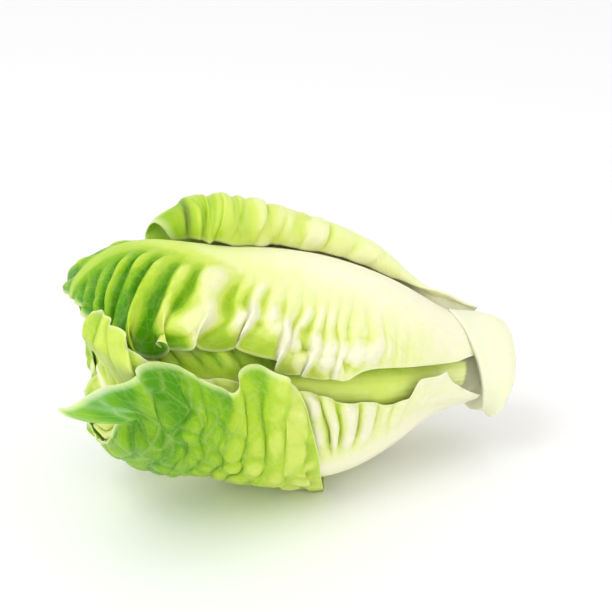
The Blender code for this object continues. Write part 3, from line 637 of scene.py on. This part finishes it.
def blurred(values, rows, columns):
    # means over windows of this many cells each way, twice
    for _ in range(2):
        for axis, reach in ((0, rows), (1, columns)):
            wide = np.pad(values, [(reach + 1, reach) if k == axis else (0, 0) for k in (0, 1)], mode="edge")
            total = np.cumsum(wide, axis)
            ahead, behind = [slice(None)] * 2, [slice(None)] * 2
            ahead[axis], behind[axis] = slice(2 * reach + 1, None), slice(None, -2 * reach - 1)
            values = (total[tuple(ahead)] - total[tuple(behind)]) / (2 * reach + 1)
    return values


def liftOver(inner, run, turn, heights, block=6):
    # what a finished sheet has to be raised so that it clears those below: the largest lack in each block of
    # the grid, spread to its neighbours and eased
    lack = np.maximum(heights[mapCell(run, turn)] + headForm["fineGap"] - inner, 0)
    rows, columns = lack.shape
    wide = np.pad(lack, ((0, -rows % block), (0, -columns % block)), mode="edge")
    most = wide.reshape(wide.shape[0] // block, block, wide.shape[1] // block, block).max((1, 3))
    ringed = np.pad(most, 1, mode="edge")
    for a in range(3):
        for b in range(3):
            most = np.maximum(most, ringed[a:a + most.shape[0], b:b + most.shape[1]])
    most = eased(eased(most))
    i = np.clip((np.arange(rows) - block / 2 + 0.5) / block, 0, most.shape[0] - 1.001)
    j = np.clip((np.arange(columns) - block / 2 + 0.5) / block, 0, most.shape[1] - 1.001)
    a, b = i.astype(int)[:, None], j.astype(int)[None, :]
    s, t = i[:, None] - a, j[None, :] - b
    return (most[a, b] * (1 - s) * (1 - t) + most[a + 1, b] * s * (1 - t) + most[a, b + 1] * (1 - s) * t
            + most[a + 1, b + 1] * s * t)


def fineLeaf(leaf, plain, heights):
    # both faces of the finished leaf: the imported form, eased, with midrib, folds, puffs, roll, frill and
    # swells on it; the inner face lies the blade's thickness and the midrib's height below the outer one
    rows, columns = leaf["grid"]
    u, v = leafGrid(rows, columns)
    run, turn, width = leafPlaces(leaf, u, v)
    side = np.abs(v)
    along, across = u * leaf["length"], v * width
    line, tall = foldLine(leaf, u, v)
    pleatHigh, pleatShift, ridge = finePleats(leaf, width, u, v, line, tall)
    puffHigh, vein = puffed(leaf, width, u, v)
    frillHigh, frillShift, frillOut = frill(leaf, width, u, v, ridge)
    blade = rise(ribsAway(leaf, np.abs(across), u), 0.8, 2) * rise(u, 0.1, 0.35)
    swell = leaf["undulation"] * softNoise(along / 26, across / 22, leaf["seed"] + 8) * blade
    rib = ribShape(leaf, width, u, v)
    strands = 0.07 * np.sin(across * 2.1 + softNoise(u * 6, across / 5, leaf["seed"] + 9)) * rib * (1 - u)
    relief = pleatHigh + puffHigh + frillHigh + rolled(leaf, width, u, v) + strands
    hookHigh, hookOut, steep = hookedOver(leaf, width, u, v, leaf["hookMore"])
    outer = between(plain, rows, columns) + marginForm(leaf, width, u, v) + hookHigh + swell
    ribHigh = ribHeight(leaf, width, u, v)
    outer = outer + ribHigh + (headForm["blade"] + relief) * np.cos(steep)
    outer = outer - headForm["sunk"] * leaf["sunk"] * rise(u, 0.3, 1)
    frillOut = frillOut + hookOut - (headForm["blade"] + relief) * np.sin(steep)
    corner = leaf["tipRound"] * side**2.5 * rise(u, 0.75, 1)
    ragged = 0.8 * softNoise(along / 4.5, 2.1 * (v > 0), leaf["seed"] + 10) * side**8 * rise(u, 0.2, 0.4)
    run = run + pleatShift + frillShift - corner
    aside = np.sign(v) / np.maximum(barrelAt(run)[1], headForm["leastRadius"])
    turn = turn + (frillOut + ragged) * aside
    thin = leaf["thin"] * (1 - 0.45 * rise(side, 0.85, 1))
    inner = outer - ribHigh - thin * np.cos(steep)
    innerTurn = turn + thin * np.sin(steep) * aside
    lift = liftOver(inner, run, turn, heights) * (1 - leaf["sunk"])
    inner, outer = inner + lift, outer + lift
    raiseMap(heights, run, turn, outer)
    green = smoothThrough(u, leaf["green"]) * (0.92 + 0.16 * side) * (1 - leaf["ribPale"] * rib)
    window = int(4.5 * rows / leaf["length"]) + 1, int(4.5 * columns / width.max() / 2) + 1
    # painted shade: where the relief lies below its own blurred mean, in its hollows, "green" rises and the
    # colour turns deeper and darker; on its ridges it falls and the colour turns paler
    paintedHollowShade = blurred(relief, *window) - relief
    green = green + leaf["relief"] * np.clip(paintedHollowShade / 1.5, -1, 1) * blade
    # the mark "edge" is a thin band along the margins and the tip, where the material paints a pale highlight
    marks = dict(green=green, vein=vein * leaf["veinShow"], rib=rib,
                 edge=np.maximum(rise(side, 0.97, 1), rise(u, 0.985, 1)) * blade)
    print("  lifted by at most %.2f mm, mean %.2f" % (lift.max(), lift.mean()))
    return onBarrel(run, innerTurn, inner), onBarrel(run, turn, outer), marks, (along, across)


def leanedOver(points):
    # smooth pushes, with t as distance from the cut end: down by a bell curve of t, back and up by rises;
    # then a turn by the lean
    angle = math.radians(headForm["lean"])
    cosine, sine = math.cos(angle), math.sin(angle)
    x, y, z = np.moveaxis(np.asarray(points, float), -1, 0)
    bell = np.exp(-(((-x - headForm["bellyPlace"]) / headForm["bellyHalf"]) ** 2))
    down = headForm["belly"] * bell * rise(-z, *headForm["bellyBelow"])
    back = headForm["short"] * rise(-x, *headForm["shortFrom"]) * rise(-z, *headForm["shortBelow"])
    x, z = x + back, z - down + headForm["baseUp"] * (1 - rise(-x, *headForm["baseFade"]))
    return np.stack([x * cosine + z * sine, y, z * cosine - x * sine], -1)


def turnedRings(outline, sides):
    # an outline of distances from the cut end and radii, turned round the growing axis
    angle = np.arange(sides) * 2 * math.pi / sides
    place, radius = np.array(outline, float).T
    return np.stack([np.broadcast_to(-place[:, None], (len(place), sides)), -radius[:, None] * np.cos(angle),
                     radius[:, None] * np.sin(angle)], -1)


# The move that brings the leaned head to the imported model's place, read from the stump's box.
stumpLow, stumpHigh = (np.array(corner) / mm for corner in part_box("stump"))
leanedStump = leanedOver(turnedRings(stumpForm["outline"], 32)).reshape(-1, 3)
moved = (stumpLow + stumpHigh) / 2 - (leanedStump.min(0) + leanedStump.max(0)) / 2
print("moved by", moved.round(2), "stump's box off by", (leanedStump.min(0) + moved - stumpLow).round(3))


def inMetres(points):
    return (leanedOver(points) + moved) * mm


def newPiece(name, points, faces, marks, material, flat=None):
    # quads and triangles by foreach_set, with float attributes for the material
    mesh = bpy.data.meshes.new(name)
    corners = np.array([len(face) for face in faces]) if isinstance(faces, list) else np.full(len(faces), 4)
    numbers = np.concatenate([np.ravel(face) for face in faces]) if isinstance(faces, list) else faces.ravel()
    mesh.vertices.add(len(points))
    mesh.vertices.foreach_set("co", points.astype(np.float32).ravel())
    mesh.loops.add(len(numbers))
    mesh.loops.foreach_set("vertex_index", numbers.astype(np.int32))
    mesh.polygons.add(len(corners))
    mesh.polygons.foreach_set("loop_start", (np.cumsum(corners) - corners).astype(np.int32))
    mesh.update(calc_edges=True)
    if flat is not None:
        layer = mesh.uv_layers.new(name="leaf")
        layer.data.foreach_set("uv", flat[numbers].astype(np.float32).ravel())
    for mark, values in marks.items():
        layer = mesh.attributes.new(mark, "FLOAT", "POINT")
        layer.data.foreach_set("value", values.astype(np.float32).ravel())
    mesh.validate()
    mesh.shade_smooth()
    mesh.materials.append(material)
    piece = bpy.data.objects.new(name, mesh)
    bpy.context.scene.collection.objects.link(piece)
    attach(piece, "root")
    return piece


def sheetPiece(name, inner, outer, marks, flat, material):
    # the solid between two sheets: inner face, outer face and a strip round the rim
    rows, columns = inner.shape[0] - 1, inner.shape[1] - 1
    count = (rows + 1) * (columns + 1)
    i, j = np.meshgrid(np.arange(rows), np.arange(columns), indexing="ij")
    a = (i * (columns + 1) + j).ravel()
    cell = np.stack([a, a + 1, a + columns + 2, a + columns + 1], 1)
    wide = columns + 1
    edge = np.concatenate([np.arange(columns), np.arange(rows) * wide + columns,
                           rows * wide + np.arange(columns, 0, -1), np.arange(rows, 0, -1) * wide])
    after = np.roll(edge, -1)
    rim = np.stack([edge, after, after + count, edge + count], 1)
    faces = np.vstack([cell[:, ::-1], cell + count, rim])
    low, high = inMetres(inner.reshape(-1, 3)), inMetres(outer.reshape(-1, 3))
    high[:, 2] = np.maximum(high[:, 2], 0)
    low[:, 2] = np.maximum(low[:, 2], np.where(high[:, 2] < 0.0005, high[:, 2] + 0.0003, 0))
    both = {mark: np.concatenate([values.ravel()] * 2) for mark, values in marks.items()}
    plane = np.stack([flat[0].ravel(), flat[1].ravel()], 1) * mm
    return newPiece(name, np.vstack([low, high]), faces, both, material, np.vstack([plane, plane]))


def feed(tree, socket, value):
    # a link from another node's socket, or a plain value
    if isinstance(value, bpy.types.NodeSocket):
        tree.links.new(value, socket)
    else:
        socket.default_value = value


def addNode(tree, kind, **inputs):
    node = tree.nodes.new(kind)
    for name, value in inputs.items():
        feed(tree, node.inputs[name.replace("_", " ")], value)
    return node


def maths(tree, operation, a, b=0.0, c=None):
    node = tree.nodes.new("ShaderNodeMath")
    node.operation = operation
    for k, value in enumerate((a, b) if c is None else (a, b, c)):
        feed(tree, node.inputs[k], value)
    return node.outputs[0]


def mark(tree, name):
    node = tree.nodes.new("ShaderNodeAttribute")
    node.attribute_name = name
    return node.outputs["Fac"]


def mixed(tree, share, a, b):
    node = tree.nodes.new("ShaderNodeMix")
    node.data_type = "RGBA"
    for k, value in ((0, share), (6, a), (7, b)):  # the mix node's sockets for colours
        feed(tree, node.inputs[k], value)
    return node.outputs[2]


def ramp(tree, value, stops):
    node = tree.nodes.new("ShaderNodeValToRGB")
    node.color_ramp.interpolation = "EASE"
    while len(node.color_ramp.elements) < len(stops):
        node.color_ramp.elements.new(0.5)
    for element, (place, colour) in zip(node.color_ramp.elements, stops):
        element.position = place
        element.color = (*colour, 1)
    tree.links.new(value, node.inputs[0])
    return node.outputs[0]


def newMaterial(name, roughness, subsurface, radius, scale):
    material = bpy.data.materials.new(name)
    material.use_nodes = True
    shader = material.node_tree.nodes["Principled BSDF"]
    shader.inputs["Roughness"].default_value = roughness
    shader.inputs["Subsurface Weight"].default_value = subsurface
    shader.inputs["Subsurface Radius"].default_value = radius
    shader.inputs["Subsurface Scale"].default_value = scale
    return material, material.node_tree, shader


leafFinish = dict(
    # linear colours along "green": white-green stalk, pale blade, mid green, deep green
    stops=[(0.0, (0.86, 0.85, 0.62)), (0.2, (0.78, 0.84, 0.38)), (0.4, (0.63, 0.75, 0.14)),
           (0.6, (0.42, 0.61, 0.035)), (0.8, (0.23, 0.46, 0.008)), (1.0, (0.09, 0.31, 0.002))],
    vein=(0.70, 0.80, 0.26),
    # edge: the colour of a painted highlight along the margins and the tip
    edge=(0.80, 0.87, 0.42),
    roughness=0.36, specular=0.15,
    subsurface=1.0, radius=(0.6, 0.6, 1.0), scale=0.0015,
    net=3.2, netWidth=0.09, netShow=0.1,  # the finest net of veins: size in mm, width and strength of lines
    crinkle=4.5, crinkleHigh=0.9,  # size and height of the small crinkles, mm
    paintedCrinkleShade=-0.16, ribGreen=-0.08,  # painted shade that the crinkles add to "green", deeper and darker in their hollows and paler on their tops; what the midrib adds
    blotch=55.0, blotchGreen=0.16,  # broad blotches, per metre, and what they add
    edgeHighlightShow=0.7,
    skin=900.0, skinHigh=0.00025,  # the finest grain, per metre, and its height in metres
)


def leafMaterial(name, finish):
    material, tree, shader = newMaterial(name, finish["roughness"], finish["subsurface"], finish["radius"],
                                         finish["scale"])
    shader.inputs["Specular IOR Level"].default_value = finish["specular"]
    place = addNode(tree, "ShaderNodeTexCoord")
    blotch = addNode(tree, "ShaderNodeTexNoise", Vector=place.outputs["Object"], Scale=finish["blotch"],
                     Detail=3.0)
    green = maths(tree, "MULTIPLY_ADD", blotch.outputs["Fac"], finish["blotchGreen"], mark(tree, "green"))
    crinkle = addNode(tree, "ShaderNodeTexNoise", Vector=place.outputs["UV"],
                      Scale=1 / (finish["crinkle"] * mm), Detail=4.0, Roughness=0.6, Distortion=0.6)
    # painted shade: the noise that bumps the crinkles colours their hollows a deeper, darker green and their
    # tops paler
    paintedHollowShade = maths(tree, "MULTIPLY_ADD", crinkle.outputs["Fac"], finish["paintedCrinkleShade"], green)
    green = maths(tree, "MULTIPLY_ADD", mark(tree, "rib"), finish["ribGreen"], paintedHollowShade)
    colour = ramp(tree, green, finish["stops"])
    net = addNode(tree, "ShaderNodeTexVoronoi", Vector=place.outputs["UV"], Scale=1 / (finish["net"] * mm))
    net.feature = "DISTANCE_TO_EDGE"
    line = tree.nodes.new("ShaderNodeMapRange")
    tree.links.new(net.outputs["Distance"], line.inputs["Value"])
    line.inputs["From Max"].default_value = finish["netWidth"]
    line.inputs["To Min"].default_value, line.inputs["To Max"].default_value = 1.0, 0.0
    blade = maths(tree, "SUBTRACT", 1.0, mark(tree, "rib"))
    thinVeins = maths(tree, "MULTIPLY", line.outputs[0], blade)
    veinColour, edgeHighlightColour = (*finish["vein"], 1), (*finish["edge"], 1)
    colour = mixed(tree, maths(tree, "MULTIPLY", thinVeins, finish["netShow"]), colour, veinColour)
    colour = mixed(tree, mark(tree, "vein"), colour, veinColour)
    # a painted highlight along the margins and the tip
    colour = mixed(tree, maths(tree, "MULTIPLY", mark(tree, "edge"), finish["edgeHighlightShow"]), colour, edgeHighlightColour)
    tree.links.new(colour, shader.inputs["Base Color"])
    skin = addNode(tree, "ShaderNodeTexNoise", Vector=place.outputs["Object"], Scale=finish["skin"],
                   Detail=2.0)
    height = maths(tree, "MULTIPLY_ADD", thinVeins, 0.5, skin.outputs["Fac"])
    crumpled = addNode(tree, "ShaderNodeBump", Height=maths(tree, "MULTIPLY", crinkle.outputs["Fac"], blade),
                       Strength=0.7, Distance=finish["crinkleHigh"] * mm)
    bump = addNode(tree, "ShaderNodeBump", Height=height, Strength=0.35, Distance=finish["skinHigh"],
                   Normal=crumpled.outputs[0])
    tree.links.new(bump.outputs[0], shader.inputs["Normal"])
    return material


stumpFinish = dict(
    flesh=(0.84, 0.85, 0.66), shade=(0.80, 0.83, 0.56),
    cut=(0.72, 0.62, 0.38), rust=(0.45, 0.25, 0.09),
    roughness=0.42, subsurface=0.9, radius=(1.0, 0.9, 0.5), scale=0.003,
    cloud=90.0, skin=700.0,  # patches and grain, per metre
)


def stumpMaterial(name, finish):
    # cloudy white flesh; on the cut end, where the mark "cut" is 1, patches of rust
    material, tree, shader = newMaterial(name, finish["roughness"], finish["subsurface"], finish["radius"],
                                         finish["scale"])
    place = addNode(tree, "ShaderNodeTexCoord")
    cloud = addNode(tree, "ShaderNodeTexNoise", Vector=place.outputs["Object"], Scale=finish["cloud"],
                    Detail=5.0)
    flesh = mixed(tree, cloud.outputs["Fac"], (*finish["shade"], 1), (*finish["flesh"], 1))
    rust = maths(tree, "MULTIPLY_ADD", cloud.outputs["Fac"], 1.4, -0.45)
    face = mixed(tree, rust, (*finish["cut"], 1), (*finish["rust"], 1))
    colour = mixed(tree, mark(tree, "cut"), flesh, face)
    tree.links.new(colour, shader.inputs["Base Color"])
    skin = addNode(tree, "ShaderNodeTexNoise", Vector=place.outputs["Object"], Scale=finish["skin"],
                   Detail=3.0)
    bump = addNode(tree, "ShaderNodeBump", Height=skin.outputs["Fac"], Strength=0.3, Distance=0.0003)
    tree.links.new(bump.outputs[0], shader.inputs["Normal"])
    return material


def makeHeart(material):
    # the bud's rings along the barrel, with small crumples
    rows, sides = heartForm["rows"], heartForm["sides"]
    first = np.interp(heartForm["start"], lineStation, lineRun)
    run = np.linspace(first, endRun - 1.5, rows)
    turn = np.arange(sides) * 2 * math.pi / sides
    run, turn = np.meshgrid(run, turn, indexing="ij")
    crumple = heartForm["crumple"] * np.sin(turn * 14 + 3 * np.sin(run / 9)) * rise(run, 60, 120)
    points = onBarrel(run, turn, heartHeight(run, turn) + crumple).reshape(-1, 3)
    start, end = points[:sides].mean(0), points[-sides:].mean(0)
    none = np.zeros(rows * sides + 2)
    green = np.concatenate([(0.12 + 0.15 * rise(run, 60, 160)).ravel(), [0, 0.2]])
    return closedRings("heart_bud", points, rows, sides, start, end,
                       dict(green=green, vein=none, rib=none, edge=none), material)


def closedRings(name, points, rows, sides, start, end, marks, material):
    # rings of points joined by quads, with a fan at each end
    k = np.arange(sides)
    after = (k + 1) % sides
    faces = []
    for row in range(rows - 1):
        a, b = row * sides, (row + 1) * sides
        faces += np.stack([a + after, b + after, b + k, a + k], 1).tolist()
    low, high, top = rows * sides, rows * sides + 1, (rows - 1) * sides
    faces += [[low, b, a] for a, b in zip(k, after)]
    faces += [[high, top + a, top + b] for a, b in zip(k, after)]
    return newPiece(name, inMetres(np.vstack([points, [start], [end]])), faces, marks, material)


def makeStump(material):
    # the outline read closely and turned, a little out of round
    outline = np.array(stumpForm["outline"], float)
    reach = np.concatenate([[0], np.cumsum(np.hypot(*np.diff(outline, axis=0).T))])
    along = np.unique(np.concatenate([np.linspace(1.0, reach[-1] - 0.5, 90), reach[1:-1]]))
    place, radius = np.interp(along, reach, outline[:, 0]), np.interp(along, reach, outline[:, 1])
    sides = stumpForm["sides"]
    points = turnedRings(np.stack([place, radius], 1), sides)
    turn = np.arange(sides) * 2 * math.pi / sides
    inThrees, atRandom = stumpForm["waver"]
    uneven = softNoise(turn[None, :] * 3, place[:, None] / 3, 41)
    out = 1 + inThrees * np.sin(3 * turn + 1) + atRandom * uneven
    points[..., 1:] *= out[..., None] * 0.985
    cut = (along < reach[1] + 0.3)[:, None] & np.ones(sides, bool)
    cutMark = np.concatenate([cut.ravel().astype(float), [1, 0]])
    return closedRings("stump_flesh", points.reshape(-1, 3), len(along), sides, (0.0, 0, 0),
                       (-outline[-1][0], 0, 0), dict(cut=cutMark), material)


mapStep = 0.4  # between the places read for the height map, mm
print("laying the leaves as packed")
heights = firstMap(mapStep)
plains = {name: plainLeaf(leaf, heights) for name, leaf in leaves.items()}

outerLeaf = leafMaterial("outer leaf", leafFinish)
innerLeaf = leafMaterial("inner leaf", leafFinish)
heartLeaf = leafMaterial("heart leaf", leafFinish)
flesh = stumpMaterial("stump flesh", stumpFinish)

print("stump and heart")
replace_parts(makeStump(flesh), "stump")
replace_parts(makeHeart(heartLeaf), "heart")

heights = firstMap(mapStep)
for name, leaf in leaves.items():
    print("leaf", name)
    inner, outer, marks, flat = fineLeaf(leaf, plains[name], heights)
    material, slot = (innerLeaf, "inner_leaf") if name.startswith("inner") else (outerLeaf, "outer_leaf")
    if name == "torn_leaf_base":
        marks["cut"] = 0 * marks["rib"]
        material, slot = flesh, "stump"
    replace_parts(sheetPiece(name + "_blade", inner, outer, marks, flat, material), name)

studio = dict(
    # in metres, watts and degrees
    floorColour=(0.93, 0.93, 0.93), floorHalf=4,
    worldLight=0.95,
    lights=[("key", (-0.5, -0.2, 0.9), 0.6, 2.8),
            ("fill", (-0.1, -1.1, 0.45), 1.0, 2.2)],  # name, place, size, power
    lightAim=(0, 0, 0.05),
    cameraTurn=-20.0, cameraHeight=25.0, lens=100.0, sensor=36.0, distance=0.6189,
    lookAt=(0.01130, 0.00752, 0.06290),
)


def makeFloor():
    half = studio["floorHalf"]
    mesh = bpy.data.meshes.new("floor")
    mesh.from_pydata([(-half, -half, 0), (half, -half, 0), (half, half, 0), (-half, half, 0)], [],
                     [(0, 1, 2, 3)])
    floor = bpy.data.objects.new("floor", mesh)
    bpy.context.scene.collection.objects.link(floor)
    material, tree, shader = newMaterial("pale floor", 0.6, 0.0, (1, 1, 1), 0.01)
    shader.inputs["Base Color"].default_value = (*studio["floorColour"], 1)
    mesh.materials.append(material)


def makeLight(name, place, size, power):
    light = bpy.data.lights.new(name, "AREA")
    light.shape, light.size, light.energy = "DISK", size, power
    lamp = bpy.data.objects.new(name, light)
    bpy.context.scene.collection.objects.link(lamp)
    lamp.matrix_world = facing(np.array(place), np.array(place) - np.array(studio["lightAim"]))


def facing(place, back):
    # a frame at this place whose -Z looks along -back, with +Y as near up as can be
    back = back / np.linalg.norm(back)
    right = np.cross((0, 0, 1.0), back)
    right = right / np.linalg.norm(right)
    up = np.cross(back, right)
    turned = np.eye(4)
    turned[:3, 0], turned[:3, 1], turned[:3, 2], turned[:3, 3] = right, up, back, place
    return Matrix(turned.tolist())


def makeCamera():
    turn, height = math.radians(studio["cameraTurn"]), math.radians(studio["cameraHeight"])
    back = np.array([math.sin(turn) * math.cos(height), -math.cos(turn) * math.cos(height), math.sin(height)])
    camera = bpy.data.cameras.new("camera")
    camera.lens, camera.sensor_width = studio["lens"], studio["sensor"]
    seen = bpy.data.objects.new("camera", camera)
    bpy.context.scene.collection.objects.link(seen)
    seen.matrix_world = facing(np.array(studio["lookAt"]) + back * studio["distance"], back)
    bpy.context.scene.camera = seen


def makeWorld():
    world = bpy.data.worlds.new("studio")
    world.use_nodes = True
    world.node_tree.nodes["Background"].inputs["Color"].default_value = (1, 1, 1, 1)
    world.node_tree.nodes["Background"].inputs["Strength"].default_value = studio["worldLight"]
    bpy.context.scene.world = world
    bpy.context.scene.view_settings.view_transform = "Standard"


makeFloor()
makeWorld()
for light in studio["lights"]:
    makeLight(*light)
makeCamera()
